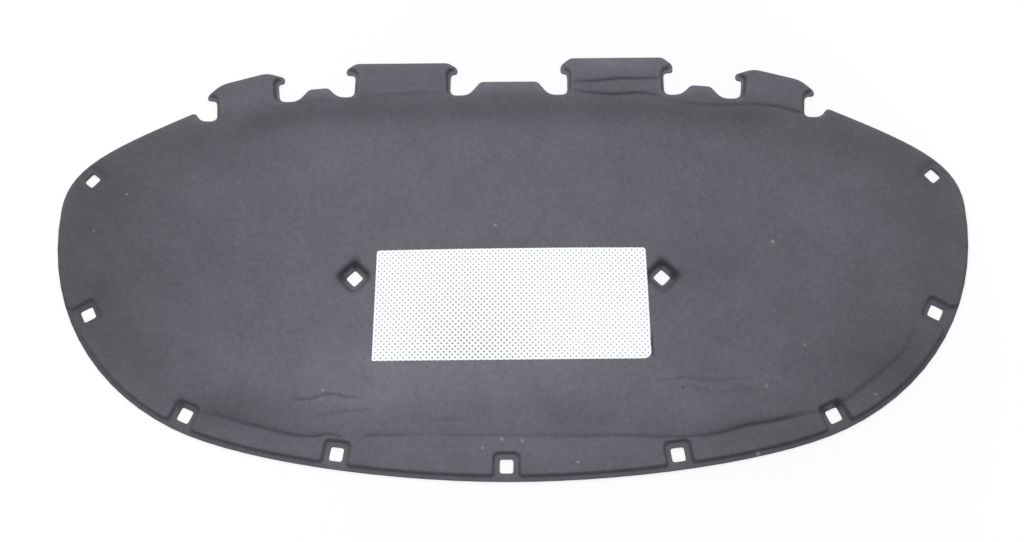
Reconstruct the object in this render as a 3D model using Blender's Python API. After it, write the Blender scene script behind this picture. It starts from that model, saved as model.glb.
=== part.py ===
"""Hood insulation pad: one mat of felt pressed to shape, with a foil heat shield bonded on it.

The pad lies on its flat back with the foil up. +X runs across the vehicle, +Y towards the tabs at
the rear of the hood, and +Z up. The origin is under the middle of the pad. Plan sizes are measured
from the centre line and from the middle of the front edge, and are moved to the origin at the end.
"""

from math import cos, pi, radians, sin

import bmesh
import bpy
from mathutils import Vector

MM = 0.001

# Rim: a smooth curve from the middle of the front edge, round the side, to the rear tip
HALF_WIDTH = 625 * MM
WIDEST_Y = 372 * MM
FRONT_BEND_X = 428 * MM
FRONT_BEND_Y = 66 * MM
FRONT_BEND_SLOPE = radians(24.6)
TIP_SLOPE = radians(153.6)
REACH_FROM_FRONT = 151 * MM
REACH_TO_BEND = 98 * MM
REACH_FROM_BEND = 125 * MM
REACH_TO_SIDE = 145 * MM
REACH_FROM_SIDE = 66 * MM
REACH_TO_TIP = 125 * MM
RIM_STEPS = 14

# Thickness of the pressed flange, of the band behind it and of the middle field
FLANGE_THICK = 3 * MM
BAND_THICK = 9 * MM
FIELD_THICK = 12 * MM
FRONT_FLANGE = 5.5 * MM
REAR_FLANGE = 4 * MM
STEP_DRAFT = 3 * MM

# Edge of the middle field
FIELD_MARGIN = 40 * MM
FIELD_REAR_MARGIN = 18 * MM
FIELD_FRONT_Y = 56 * MM
FIELD_SLOPE = 10 * MM
BEND_MARGIN = 9 * MM
BEND_FALL = 36 * MM

# Corners are rounded from this far before them to as far after them
FLOOR_ROUNDING = 9 * MM
CORNER_ROUNDING = 5 * MM
SLANT_ROUNDING = 10 * MM

# Rear edge: where the notch at the centre ends, and how much lower the floors of the others are
REAR_Y = 550 * MM
SIDE_FLOOR_DROP = 1.5 * MM
MIDDLE_FLOOR_DROP = 8.5 * MM
OUTER_FLOOR_DROP = 39.5 * MM

# Widths along the rear edge, from the centre line outwards
CENTRE_TAB_FOOT = 117 * MM
INNER_NOTCH = 26.5 * MM
WIDE_NECK = 140 * MM
SIDE_NOTCH = 24 * MM
SMALL_TAB_FOOT = 58 * MM
MIDDLE_NOTCH = 26.5 * MM
OUTER_NECK = 88 * MM
OUTER_NOTCH = 24 * MM
TIP_RUN = 9.5 * MM
TIP_RISE = 13.5 * MM

# Low tab at the centre line, and the small one between the larger tabs
CENTRE_TAB_HEIGHT = 22.3 * MM
CENTRE_TAB_TOP = 83 * MM
SMALL_TAB_HEIGHT = 14 * MM
SMALL_TAB_FALL = 2.5 * MM
SMALL_TAB_TOP = 28 * MM

# Wide T-shaped tabs: neck, wing and tapered end, each from the one before. The right one is longer
WIDE_NECK_HEIGHT = 35 * MM
WIDE_WING_HEIGHT = 10 * MM
WIDE_END_HEIGHT = 9.5 * MM
WIDE_WING_IN = 9.5 * MM
WIDE_WING_OUT = 14 * MM
WIDE_CHAMFER = 14 * MM
RIGHT_TAB_EXTRA = 6.5 * MM

# Outer T-shaped tabs, which lean outwards and have a slanted rear edge
OUTER_TAB_LEAN = 4 * MM
OUTER_WING_OUT = 18 * MM
OUTER_WING_IN = 4.5 * MM
OUTER_NECK_HEIGHT = 33.5 * MM
OUTER_WING_HEIGHT = 9 * MM
OUTER_SLANT_HEIGHT = 18 * MM
OUTER_APEX_HEIGHT = 19 * MM
OUTER_APEX_SHIFT = 21.5 * MM
INNER_NECK_HEIGHT = 29.5 * MM
INNER_WING_HEIGHT = 10.5 * MM
PANEL_MARGIN = 3 * MM

# Clip holes: distance along the rim from the middle of the front edge, and in from the rim
RIM_CLIPS = ((0 * MM, 19 * MM), (218 * MM, 19 * MM), (429 * MM, 21 * MM), (648 * MM, 24.5 * MM))
CORNER_CLIP = (883 * MM, 22.5 * MM)
CLIP_HOLE = 17 * MM
CLIP_HOLE_ROUNDING = 3 * MM
POCKET_LAND = 6.5 * MM
POCKET_DRAFT = 3 * MM
RECESS_LAND = 4.5 * MM
RECESS_DRAFT = 6 * MM
POCKET_ROUNDING = 5 * MM

# Foil heat shield, set a little askew
FOIL_WIDTH = 362 * MM
FOIL_DEPTH = 153 * MM
FOIL_THICK = 0.6 * MM
FOIL_X = 5 * MM
FOIL_Y = 230 * MM
FOIL_TURN = radians(0.5)
FOIL_ROUNDING = 3 * MM
FOIL_FREE_ROUNDING = 9 * MM
FOIL_GAP = 0.3 * MM

# Inner clips, beside the foil and a little behind its middle
INNER_CLIP_CLEARANCE = 25.5 * MM
INNER_CLIP_SHIFT = 38.5 * MM

CUT_PAST = 1 * MM
CORNER_STEPS = 4
LARGEST_SHARE = 0.49
FELT_COLOUR = "6A686F"
FOIL_COLOUR = "E2E3E6"

# Places that follow from the sizes above
WIDE_IN_X = CENTRE_TAB_FOOT / 2 + INNER_NOTCH
WIDE_OUT_X = WIDE_IN_X + WIDE_NECK
WIDE_TAB_Y = REAR_Y + WIDE_NECK_HEIGHT + WIDE_WING_HEIGHT + WIDE_END_HEIGHT
SMALL_TAB_X = WIDE_OUT_X + SIDE_NOTCH + SMALL_TAB_FOOT / 2
OUTER_IN_X = SMALL_TAB_X + SMALL_TAB_FOOT / 2 + MIDDLE_NOTCH
OUTER_OUT_X = OUTER_IN_X + OUTER_NECK
OUTER_TAB_X = OUTER_IN_X + OUTER_NECK / 2
SIDE_FLOOR_Y = REAR_Y - SIDE_FLOOR_DROP
MIDDLE_FLOOR_Y = REAR_Y - MIDDLE_FLOOR_DROP
OUTER_FLOOR_Y = REAR_Y - OUTER_FLOOR_DROP
TIP_X = OUTER_OUT_X + OUTER_NOTCH + TIP_RUN
TIP_Y = OUTER_FLOOR_Y + TIP_RISE
OUTER_SHOULDER_Y = OUTER_FLOOR_Y + OUTER_NECK_HEIGHT
OUTER_CORNER_Y = OUTER_SHOULDER_Y + OUTER_WING_HEIGHT + OUTER_SLANT_HEIGHT
OUTER_APEX_X = OUTER_TAB_X - OUTER_APEX_SHIFT
OUTER_APEX_Y = OUTER_CORNER_Y + OUTER_APEX_HEIGHT
INNER_SHOULDER_Y = MIDDLE_FLOOR_Y + INNER_NECK_HEIGHT
INNER_WING_Y = INNER_SHOULDER_Y + INNER_WING_HEIGHT


def clear_scene():
    for thing in list(bpy.data.objects):
        bpy.data.objects.remove(thing, do_unlink=True)


def heading(angle):
    return Vector((cos(angle), sin(angle)))


def left_of(direction):
    return Vector((-direction.y, direction.x))


# Rim curve

def bezier(start, leave, arrive, end, steps):
    """Points and directions along one cubic stretch, with its start and without its end."""
    stretch = []
    for step in range(steps):
        t = step / steps
        u = 1 - t
        point = u**3 * start + 3 * u * u * t * leave + 3 * u * t * t * arrive + t**3 * end
        along = u * u * (leave - start) + 2 * u * t * (arrive - leave) + t * t * (end - arrive)
        stretch.append((point, along.normalized()))
    return stretch


def rim_curve():
    """Right half of the rim as (point, direction), from the front edge's middle to the tip."""
    knots = (
        (Vector((0, 0)), heading(0), 0, REACH_FROM_FRONT),
        (Vector((FRONT_BEND_X, FRONT_BEND_Y)), heading(FRONT_BEND_SLOPE), REACH_TO_BEND, REACH_FROM_BEND),
        (Vector((HALF_WIDTH, WIDEST_Y)), heading(pi / 2), REACH_TO_SIDE, REACH_FROM_SIDE),
        (Vector((TIP_X, TIP_Y)), heading(TIP_SLOPE), REACH_TO_TIP, 0),
    )
    curve = []
    for here, there in zip(knots, knots[1:]):
        leave = here[0] + here[1] * here[3]
        arrive = there[0] - there[1] * there[2]
        curve += bezier(here[0], leave, arrive, there[0], RIM_STEPS)
    return curve + [(knots[-1][0], knots[-1][1])]


def rim_at(distance):
    """Point and direction on the rim, at a distance along it from the front edge's middle."""
    curve = rim_curve()
    for (here, along), (there, there_along) in zip(curve, curve[1:]):
        length = (there - here).length
        if distance <= length:
            share = distance / length
            return here.lerp(there, share), along.lerp(there_along, share).normalized()
        distance -= length
    return curve[-1]


def smooth_share(value, low, high):
    share = min(max((value - low) / (high - low), 0), 1)
    return share * share * (3 - 2 * share)


def inner_rim(front_inset, rear_inset, lowest_y=0):
    """Corners along a line inside the rim. The inset changes from front to rear along the side."""
    side_clip_y = rim_at(RIM_CLIPS[-1][0])[0].y
    corners = []
    for point, along in rim_curve():
        share = smooth_share(point.y, side_clip_y, WIDEST_Y)
        inset = front_inset + (rear_inset - front_inset) * share
        place = point + left_of(along) * inset
        corners.append((place.x, max(place.y, lowest_y), 0))
    return corners


# Rear edge, each tab's corners (x, y, rounding) from its outer side to its inner side

def outer_tab():
    wing_out_x = OUTER_OUT_X + OUTER_WING_OUT
    wing_in_x = OUTER_IN_X - OUTER_WING_IN
    return [
        (OUTER_OUT_X + OUTER_NOTCH, OUTER_FLOOR_Y, FLOOR_ROUNDING),
        (OUTER_OUT_X, OUTER_FLOOR_Y, FLOOR_ROUNDING),
        (OUTER_OUT_X + OUTER_TAB_LEAN, OUTER_SHOULDER_Y, FLOOR_ROUNDING),
        (wing_out_x, OUTER_SHOULDER_Y, CORNER_ROUNDING),
        (wing_out_x, OUTER_SHOULDER_Y + OUTER_WING_HEIGHT, CORNER_ROUNDING),
        (OUTER_OUT_X, OUTER_CORNER_Y, SLANT_ROUNDING),
        (OUTER_APEX_X, OUTER_APEX_Y, SLANT_ROUNDING),
        (wing_in_x, INNER_WING_Y, CORNER_ROUNDING),
        (wing_in_x, INNER_SHOULDER_Y, CORNER_ROUNDING),
        (OUTER_IN_X + OUTER_TAB_LEAN, INNER_SHOULDER_Y, CORNER_ROUNDING),
        (OUTER_IN_X, MIDDLE_FLOOR_Y, FLOOR_ROUNDING),
    ]


def small_tab():
    foot, top = SMALL_TAB_FOOT / 2, SMALL_TAB_TOP / 2
    top_y = REAR_Y + SMALL_TAB_HEIGHT
    return [
        (SMALL_TAB_X + foot, MIDDLE_FLOOR_Y, SLANT_ROUNDING),
        (SMALL_TAB_X + top, top_y - SMALL_TAB_FALL, CORNER_ROUNDING),
        (SMALL_TAB_X - top, top_y, CORNER_ROUNDING),
        (SMALL_TAB_X - foot, SIDE_FLOOR_Y, SLANT_ROUNDING),
    ]


def wide_tab_side(side, neck_x, wing, floor_y, extra):
    """Corners of one side of a wide tab, from its floor up. The side is 1 outwards, -1 inwards."""
    wing_x = neck_x + side * wing
    shoulder_y = REAR_Y + WIDE_NECK_HEIGHT
    return [
        (neck_x, floor_y, FLOOR_ROUNDING),
        (neck_x, shoulder_y, FLOOR_ROUNDING),
        (wing_x, shoulder_y, CORNER_ROUNDING),
        (wing_x, shoulder_y + WIDE_WING_HEIGHT + extra / 2, CORNER_ROUNDING),
        (wing_x - side * WIDE_CHAMFER, WIDE_TAB_Y + extra, CORNER_ROUNDING),
    ]


def wide_tab(extra):
    outer = wide_tab_side(1, WIDE_OUT_X, WIDE_WING_OUT, SIDE_FLOOR_Y, extra)
    inner = wide_tab_side(-1, WIDE_IN_X, WIDE_WING_IN, REAR_Y, extra)
    return outer + inner[::-1]


def centre_tab():
    top_y = REAR_Y + CENTRE_TAB_HEIGHT
    return [
        (CENTRE_TAB_FOOT / 2, REAR_Y, SLANT_ROUNDING),
        (CENTRE_TAB_TOP / 2, top_y, CORNER_ROUNDING),
        (0, top_y, 0),
    ]


def pad_half(extra):
    """Corners of the right half of the whole pad."""
    tip = [(TIP_X, TIP_Y, CORNER_ROUNDING)]
    return inner_rim(0, 0)[:-1] + tip + outer_tab() + small_tab() + wide_tab(extra) + centre_tab()


def band_half(extra, draft):
    """Corners of the right half of the raised band, with a panel on each T-shaped tab."""
    inset = PANEL_MARGIN + draft
    outer_x = OUTER_OUT_X - inset
    inner_x = OUTER_IN_X + OUTER_TAB_LEAN + inset
    wide_outer_x = WIDE_OUT_X - inset
    wide_inner_x = WIDE_IN_X + inset
    wide_y = WIDE_TAB_Y + extra - inset
    return inner_rim(FRONT_FLANGE + draft, REAR_FLANGE + draft)[:-1] + [
        (TIP_X, OUTER_FLOOR_Y - inset, CORNER_ROUNDING),
        (outer_x, OUTER_FLOOR_Y - inset, CORNER_ROUNDING),
        (outer_x, OUTER_CORNER_Y - inset, SLANT_ROUNDING),
        (OUTER_APEX_X, OUTER_APEX_Y - inset, SLANT_ROUNDING),
        (inner_x, INNER_WING_Y - inset, CORNER_ROUNDING),
        (inner_x, MIDDLE_FLOOR_Y - inset, CORNER_ROUNDING),
        (SMALL_TAB_X, SIDE_FLOOR_Y - inset, SLANT_ROUNDING),
        (wide_outer_x, SIDE_FLOOR_Y - inset, CORNER_ROUNDING),
        (wide_outer_x, wide_y, CORNER_ROUNDING),
        (wide_inner_x, wide_y, CORNER_ROUNDING),
        (wide_inner_x, REAR_Y - inset, CORNER_ROUNDING),
        (0, REAR_Y - inset, 0),
    ]


def field_half(slope):
    """Corners of the right half of the middle field, whose rear edge is the bend behind the tabs."""
    edge = inner_rim(FIELD_MARGIN + slope, FIELD_REAR_MARGIN + slope, FIELD_FRONT_Y + slope)
    bend_y = REAR_Y - BEND_MARGIN - slope
    bend = [
        (OUTER_TAB_X, bend_y - BEND_FALL, SLANT_ROUNDING),
        ((WIDE_IN_X + WIDE_OUT_X) / 2, bend_y, SLANT_ROUNDING),
        (0, bend_y, 0),
    ]
    return edge[:-1] + bend


# Outlines

def rounded(corners):
    """The outline with each corner (x, y, rounding) turned into a curve, cut short on a short edge."""
    points = []
    for place, (x, y, rounding) in enumerate(corners):
        corner = Vector((x, y))
        if rounding == 0:
            points.append(corner)
            continue
        ends = []
        for other in (corners[place - 1], corners[(place + 1) % len(corners)]):
            edge = Vector(other[:2]) - corner
            ends.append(corner + edge * min(rounding / edge.length, LARGEST_SHARE))
        for step in range(CORNER_STEPS + 1):
            t = step / CORNER_STEPS
            points.append(ends[0].lerp(corner, t).lerp(corner.lerp(ends[1], t), t))
    return points


def spun(vector, angle):
    return heading(angle) * vector.x + left_of(heading(angle)) * vector.y


def whole(right, left):
    """A closed outline from a right half and the mirror of a left half, which share their ends."""
    mirrored = [(-x, y, rounding) for x, y, rounding in reversed(left)]
    return rounded(right + mirrored[1:-1])


def to_frame(points):
    """Moves plan points so that the origin is under the middle of the pad."""
    depth = WIDE_TAB_Y + max(RIGHT_TAB_EXTRA, 0)
    return [point - Vector((0, depth / 2)) for point in points]


def rounded_box(centre, along, halves, rounding):
    """A rectangle turned to a direction, from halves (behind, ahead, out, in) of its centre."""
    behind, ahead, out, inward = halves
    across = left_of(along)
    spots = ((-behind, -out), (ahead, -out), (ahead, inward), (-behind, inward))
    corners = [centre + along * x + across * y for x, y in spots]
    return rounded([(corner.x, corner.y, rounding) for corner in corners])


# Solids

def prism(bm, lower, upper, low_z, high_z):
    """One closed solid between two outlines that have the same number of points."""
    rings = []
    for outline, z in ((lower, low_z), (upper, high_z)):
        rings.append([bm.verts.new((point.x, point.y, z)) for point in outline])
    bm.faces.new(list(reversed(rings[0])))
    bm.faces.new(rings[1])
    for here in range(len(lower)):
        there = (here + 1) % len(lower)
        bm.faces.new((rings[0][here], rings[0][there], rings[1][there], rings[1][here]))


def solid(name, prisms, material=None):
    bm = bmesh.new()
    for lower, upper, low_z, high_z in prisms:
        prism(bm, to_frame(lower), to_frame(upper), low_z, high_z)
    bmesh.ops.recalc_face_normals(bm, faces=bm.faces)
    mesh = bpy.data.meshes.new(name)
    bm.to_mesh(mesh)
    bm.free()
    thing = bpy.data.objects.new(name, mesh)
    bpy.context.scene.collection.objects.link(thing)
    if material:
        mesh.materials.append(material)
    return thing


def helper(thing):
    thing.hide_render = True
    thing.display_type = "WIRE"
    return thing


def combine(thing, operation, other):
    """A Boolean with a helper solid, which stays in the scene as a wire shape."""
    modifier = thing.modifiers.new(other.name, "BOOLEAN")
    modifier.operation = operation
    modifier.solver = "EXACT"
    modifier.object = helper(other)


# Clip holes and the lands around them

def rim_clip(distance, inset):
    point, along = rim_at(distance)
    return point + left_of(along) * inset, along


def both_sides(clips):
    """Each clip with its mirror image. One on the centre line has none."""
    sides = []
    for centre, along in clips:
        sides.append((centre, along))
        if centre.x > CLIP_HOLE:
            sides.append((Vector((-centre.x, centre.y)), Vector((along.x, -along.y))))
    return sides


def open_clips():
    return both_sides(rim_clip(distance, inset) for distance, inset in RIM_CLIPS)


def recessed_clips():
    inner = Vector((FOIL_WIDTH / 2 + INNER_CLIP_CLEARANCE, FOIL_Y + INNER_CLIP_SHIFT))
    return both_sides([rim_clip(*CORNER_CLIP), (inner, heading(pi / 4))])


def pocket(centre, along, land, draft, past_rim):
    """A cutter with sloping walls. Its floor ends inside the flange, whose top then shows."""
    low_z, high_z = FLANGE_THICK / 4, FIELD_THICK + CUT_PAST
    steepness = draft / (FIELD_THICK - FLANGE_THICK)
    outlines = []
    for z in (low_z, high_z):
        half = CLIP_HOLE / 2 + land + steepness * (z - FLANGE_THICK)
        outlines.append(rounded_box(centre, along, (half, half, half + past_rim, half), POCKET_ROUNDING))
    return outlines[0], outlines[1], low_z, high_z


def pocket_cutters():
    past_rim = 2 * CLIP_HOLE
    cutters = [pocket(centre, along, POCKET_LAND, POCKET_DRAFT, past_rim) for centre, along in open_clips()]
    cutters += [pocket(centre, along, RECESS_LAND, RECESS_DRAFT, 0) for centre, along in recessed_clips()]
    return cutters


def hole_cutters():
    half = CLIP_HOLE / 2
    cutters = []
    for centre, along in open_clips() + recessed_clips():
        outline = rounded_box(centre, along, (half, half, half, half), CLIP_HOLE_ROUNDING)
        cutters.append((outline, outline, -CUT_PAST, FLANGE_THICK + CUT_PAST))
    return cutters


# Pieces

def linear(channel):
    return channel / 12.92 if channel <= 0.04045 else ((channel + 0.055) / 1.055) ** 2.4


def principled(name, hex_colour, roughness, metallic):
    material = bpy.data.materials.new(name)
    material.use_nodes = True
    shader = material.node_tree.nodes["Principled BSDF"]
    channels = [linear(int(hex_colour[place : place + 2], 16) / 255) for place in (0, 2, 4)]
    shader.inputs["Base Color"].default_value = (*channels, 1)
    shader.inputs["Roughness"].default_value = roughness
    shader.inputs["Metallic"].default_value = metallic
    return material


def make_pad():
    """The raised band and field, cut by the pockets, then joined to the flange and holed."""
    inside_flange = FLANGE_THICK / 2
    outlines = [whole(band_half(RIGHT_TAB_EXTRA, draft), band_half(0, draft)) for draft in (0, STEP_DRAFT)]
    felt = principled("grey_felt", FELT_COLOUR, 0.95, 0)
    pad = solid("insulation_pad", [(*outlines, inside_flange, BAND_THICK)], felt)
    field = [whole(field_half(slope), field_half(slope)) for slope in (0, FIELD_SLOPE)]
    combine(pad, "UNION", solid("field", [(*field, BAND_THICK - CUT_PAST, FIELD_THICK)]))
    combine(pad, "DIFFERENCE", solid("pockets", pocket_cutters()))
    flange = whole(pad_half(RIGHT_TAB_EXTRA), pad_half(0))
    combine(pad, "UNION", solid("flange", [(flange, flange, 0, FLANGE_THICK)]))
    combine(pad, "DIFFERENCE", solid("clip_holes", hole_cutters()))
    return pad


def make_foil():
    """The foil lies on the field. The corner at the front right is the most rounded."""
    across, up = FOIL_WIDTH / 2, FOIL_DEPTH / 2
    spots = (
        (-across, -up, FOIL_ROUNDING),
        (across, -up, FOIL_FREE_ROUNDING),
        (across, up, FOIL_ROUNDING),
        (-across, up, FOIL_ROUNDING),
    )
    corners = []
    for x, y, rounding in spots:
        place = Vector((FOIL_X, FOIL_Y)) + spun(Vector((x, y)), FOIL_TURN)
        corners.append((place.x, place.y, rounding))
    outline = rounded(corners)
    low_z = FIELD_THICK + FOIL_GAP
    foil = principled("perforated_aluminium_foil", FOIL_COLOUR, 0.35, 1)
    return solid("foil_heat_shield", [(outline, outline, low_z, low_z + FOIL_THICK)], foil)


clear_scene()
make_pad()
make_foil()
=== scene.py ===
# %% [markdown]
# # Hood insulation pad
# This mat lines the underside of a vehicle's hood. A thick web of felt is pressed hot between two
# moulds: the rim comes out thin and stiff, the middle stays thick and soft, and square clip holes
# are punched last. A patch of perforated foil over the engine's hottest spot keeps heat off it.
# We load the plain solids first. They fix every place and size, so each dressed piece goes exactly
# where its solid is.

# %% Load the frame
from math import cos, exp, pi, radians, sin, sqrt

import bmesh
import bpy
import numpy as np
from mathutils import Matrix, Vector, geometry, kdtree, noise


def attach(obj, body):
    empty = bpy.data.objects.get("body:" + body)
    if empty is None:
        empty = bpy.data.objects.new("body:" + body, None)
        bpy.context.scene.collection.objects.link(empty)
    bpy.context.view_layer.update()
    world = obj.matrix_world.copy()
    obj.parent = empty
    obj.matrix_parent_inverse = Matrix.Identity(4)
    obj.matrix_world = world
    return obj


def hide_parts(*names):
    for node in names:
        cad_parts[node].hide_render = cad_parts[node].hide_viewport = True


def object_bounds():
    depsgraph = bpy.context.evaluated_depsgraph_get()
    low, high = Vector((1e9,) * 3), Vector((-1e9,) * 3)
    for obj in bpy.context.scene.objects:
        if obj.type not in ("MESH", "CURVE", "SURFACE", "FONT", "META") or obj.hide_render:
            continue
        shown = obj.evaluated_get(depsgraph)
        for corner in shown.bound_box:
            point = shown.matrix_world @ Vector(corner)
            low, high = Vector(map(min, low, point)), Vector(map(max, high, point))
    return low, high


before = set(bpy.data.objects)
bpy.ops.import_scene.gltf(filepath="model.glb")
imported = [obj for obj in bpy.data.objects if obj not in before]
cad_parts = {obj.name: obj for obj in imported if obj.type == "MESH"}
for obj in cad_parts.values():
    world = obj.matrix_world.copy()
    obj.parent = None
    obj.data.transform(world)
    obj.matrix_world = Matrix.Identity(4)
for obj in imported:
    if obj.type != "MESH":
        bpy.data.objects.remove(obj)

MM = 0.001
for name in ("Cube", "Light", "Camera"):
    if name in bpy.data.objects:
        bpy.data.objects.remove(bpy.data.objects[name])
cad_low, cad_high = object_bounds()
PAD_DEPTH = (cad_high.y - cad_low.y) / MM
print("solids:", sorted(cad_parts), "size in mm:", [round(side / MM, 1) for side in cad_high - cad_low])


def nothing_selected():
    """Operators act on all that is selected, so each step starts with nothing selected."""
    bpy.ops.object.select_all(action="DESELECT")


nothing_selected()

# %% [markdown]
# ## The camera
# The pad lies on the floor and the camera looks down on it from in front, a little off its centre
# line and tilted, as by hand. A camera's own axes are easy to build from three angles: the way it
# looks, its right, and the cross product of the two. We place it this way instead of turning it by
# eye, so that the view can be stated in four plain numbers.

# %% Camera at the photograph's viewing angle
VIEW_AZIMUTH = radians(-3.71)
VIEW_ELEVATION = radians(70.2)
VIEW_ROLL = radians(-3.7)
VIEW_DISTANCE = 1213 * MM
VIEW_TARGET = Vector((5.75, -26, 0)) * MM
FOCAL_PIXELS = 898
IMAGE_WIDTH = 1024
SENSOR_WIDTH = 36

looking = Vector((sin(VIEW_AZIMUTH) * cos(VIEW_ELEVATION), cos(VIEW_AZIMUTH) * cos(VIEW_ELEVATION),
                  -sin(VIEW_ELEVATION)))
level_right = Vector((cos(VIEW_AZIMUTH), -sin(VIEW_AZIMUTH), 0))
level_up = level_right.cross(looking)
right = level_right * cos(VIEW_ROLL) + level_up * sin(VIEW_ROLL)
up = level_up * cos(VIEW_ROLL) - level_right * sin(VIEW_ROLL)
facing = Matrix((right, up, -looking)).transposed()

bpy.ops.object.camera_add()
camera = bpy.context.object
camera.name = "camera"
camera.location = VIEW_TARGET - looking * VIEW_DISTANCE
camera.rotation_euler = facing.to_euler()
camera.data.sensor_width = SENSOR_WIDTH
camera.data.lens = FOCAL_PIXELS / IMAGE_WIDTH * SENSOR_WIDTH
camera.data.clip_start = 10 * MM
camera.data.clip_end = 50
bpy.context.scene.camera = camera
print("camera at", [round(value, 3) for value in camera.location], "lens", round(camera.data.lens, 2))

# %% [markdown]
# ## Colour and node helpers
# Colours are picked as sRGB hex values, as on a screen, but a renderer adds up light, so it needs
# linear values. One function turns the first into the second. A second one adds a node with its
# settings and its links, which keeps each material readable as a short list of steps.

# %% Colour and node helpers
def linear(hex_colour, alpha=1.0):
    """An sRGB hex colour as the linear values that a shader takes."""
    channels = [int(hex_colour[place : place + 2], 16) / 255 for place in (0, 2, 4)]
    return [c / 12.92 if c <= 0.04045 else ((c + 0.055) / 1.055) ** 2.4 for c in channels] + [alpha]


def add_node(tree, kind, inputs=(), **settings):
    """Adds a node. An input is (socket, value) or (socket, a socket to link from)."""
    node = tree.nodes.new(kind)
    for name, value in settings.items():
        setattr(node, name, value)
    for socket, value in inputs:
        if isinstance(value, bpy.types.NodeSocket):
            tree.links.new(value, node.inputs[socket])
        else:
            node.inputs[socket].default_value = value
    return node


def new_material(name):
    """A material with its shader and its tree."""
    material = bpy.data.materials.new(name)
    material.use_nodes = True
    return material, material.node_tree, material.node_tree.nodes["Principled BSDF"]


print("white is", linear("FFFFFF"))

# %% [markdown]
# ## Floor and light
# The pad was photographed on a white sweep under wide, soft lamps. The floor keeps a soft contact
# shadow and is white to the eye. Most of that white is light that the floor gives off to the camera
# alone, so the felt isn't lit any harder for it, and it grows outwards as the lamps' light falls
# off. One low, wide lamp hangs over the pad a little to the front left, which leaves the ends
# darker. Two more stand farther off behind the pad, because the walls that face the viewer are the
# dark ones.

# %% Floor
FLOOR_SIDE = 9
FLOOR_DROP = 0.3 * MM
FLOOR_PAPER = "A0A0A2"
FLOOR_GLOW = 0.66
GLOW_GROWTH = 0.25


def seen_by_viewer(tree):
    """One for a ray from the camera, a mirror or a clear piece, and zero for the light on a surface."""
    rays = add_node(tree, "ShaderNodeLightPath")
    seen = rays.outputs["Is Camera Ray"]
    for other in ("Is Glossy Ray", "Is Transmission Ray"):
        either = add_node(tree, "ShaderNodeMath", [(0, seen), (1, rays.outputs[other])], operation="MAXIMUM")
        seen = either.outputs[0]
    return seen


bpy.ops.mesh.primitive_plane_add(size=FLOOR_SIDE, location=(0, 0, -FLOOR_DROP))
floor = bpy.context.object
floor.name = "floor"
paper, tree, shader = new_material("white_paper_sweep")
shader.inputs["Base Color"].default_value = linear(FLOOR_PAPER)
shader.inputs["Roughness"].default_value = 0.9
shader.inputs["Specular IOR Level"].default_value = 0.1
place = add_node(tree, "ShaderNodeTexCoord")
away = add_node(tree, "ShaderNodeVectorMath", [(0, place.outputs["Object"])], operation="LENGTH")
square = add_node(tree, "ShaderNodeMath", [(0, away.outputs["Value"]), (1, 2.0)], operation="POWER")
rising = add_node(tree, "ShaderNodeMath", [(0, square.outputs[0]), (1, GLOW_GROWTH), (2, FLOOR_GLOW)],
                  operation="MULTIPLY_ADD")
strength = add_node(tree, "ShaderNodeMath", [(0, seen_by_viewer(tree)), (1, rising.outputs[0])],
                    operation="MULTIPLY")
glow = add_node(tree, "ShaderNodeEmission", [("Color", (1, 1, 1, 1)), ("Strength", strength.outputs[0])])
both = add_node(tree, "ShaderNodeAddShader", [(0, shader.outputs[0]), (1, glow.outputs[0])])
tree.links.new(both.outputs[0], tree.nodes["Material Output"].inputs["Surface"])
floor.data.materials.append(paper)
print("floor", FLOOR_SIDE, "m across")

# %% World and lamps
AMBIENT = 0.26
AMBIENT_TINT = "F4F6FA"
BACKDROP_WHITE = 1.1

world = bpy.data.worlds.new("studio")
bpy.context.scene.world = world
world.use_nodes = True
tree = world.node_tree
tree.nodes.clear()
around = add_node(tree, "ShaderNodeBackground", [("Color", linear(AMBIENT_TINT)), ("Strength", AMBIENT)])
white = add_node(tree, "ShaderNodeBackground", [("Color", (1, 1, 1, 1)), ("Strength", BACKDROP_WHITE)])
which = add_node(tree, "ShaderNodeMixShader", [(0, seen_by_viewer(tree)), (1, around.outputs[0]),
                                               (2, white.outputs[0])])
add_node(tree, "ShaderNodeOutputWorld", [("Surface", which.outputs[0])])

LAMPS = (  # name, place and side in metres, and watts
    ("lamp_rear_left", (-1.2, 1.3, 1.5), 1.1, 7),
    ("lamp_rear_right", (1.2, 1.3, 1.5), 1.1, 7),
    ("lamp_above", (-0.1, -0.1, 0.95), 0.7, 5.6),
)


def add_lamp(name, place, size, watts):
    """A square lamp that faces the middle of the pad."""
    bpy.ops.object.light_add(type="AREA", location=place)
    lamp = bpy.context.object
    lamp.name = name
    lamp.data.size = size
    lamp.data.energy = watts
    lamp.rotation_euler = (-Vector(place)).to_track_quat("-Z", "Y").to_euler()
    lamp.visible_glossy = False


for lamp in LAMPS:
    add_lamp(*lamp)
bpy.context.scene.view_settings.view_transform = "Standard"
print(len(LAMPS), "lamps")

# %% [markdown]
# ## The felt pad: its cut outline
# The outline and the clip holes are the sharpest things on the real pad, because a die cuts them
# after pressing. They could be drawn again by hand, but the solid already has them, so we read the
# loops of edges round its flat back. The plan is kept in millimetres, with y measured from the
# middle of the front edge, as a pattern maker would.

# %% Read the cut loops from the solid
SAME_PLACE = 1e-6  # two points closer than this are one
FACES_DOWN = -0.9  # a face whose normal has a z below this is part of the flat back


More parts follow.
